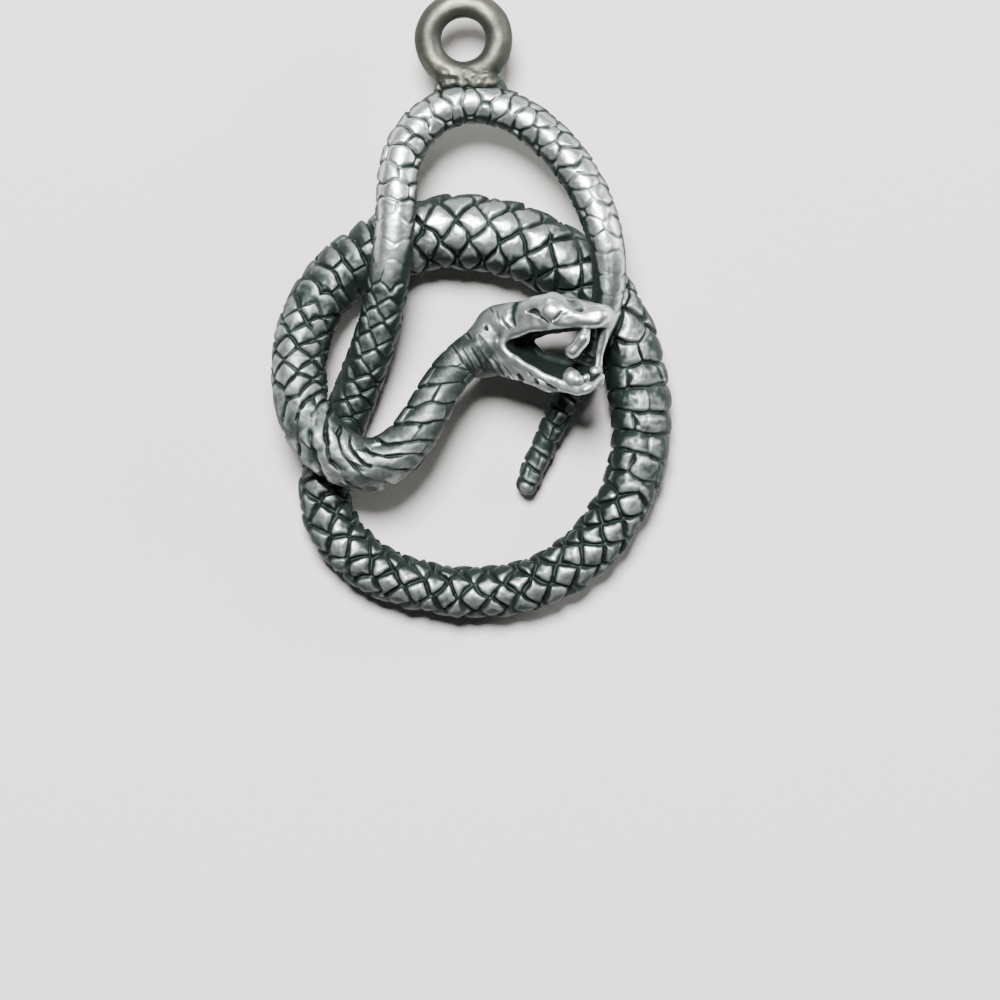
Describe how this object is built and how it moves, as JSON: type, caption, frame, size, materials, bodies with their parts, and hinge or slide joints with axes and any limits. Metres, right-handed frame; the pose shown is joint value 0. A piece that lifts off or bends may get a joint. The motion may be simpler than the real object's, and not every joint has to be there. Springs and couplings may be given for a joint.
{
  "type": "snake pendant",
  "caption": "Cast pendant of one scaled snake wound as a coil with a loop over it, open mouth, and a round hanging ring on top.",
  "frame": {"origin": "bottom centre of the bounding box, where the pendant lies on its back", "axes": "+Y from the tail of the coil to the hanging ring, +Z out of the front face"},
  "size_m": [0.0161, 0.0251, 0.0056],
  "materials": {
    "silver": "antique"
  },
  "bodies": {
    "root": {"snake_pendant": "silver"}
  },
  "joints": []
}
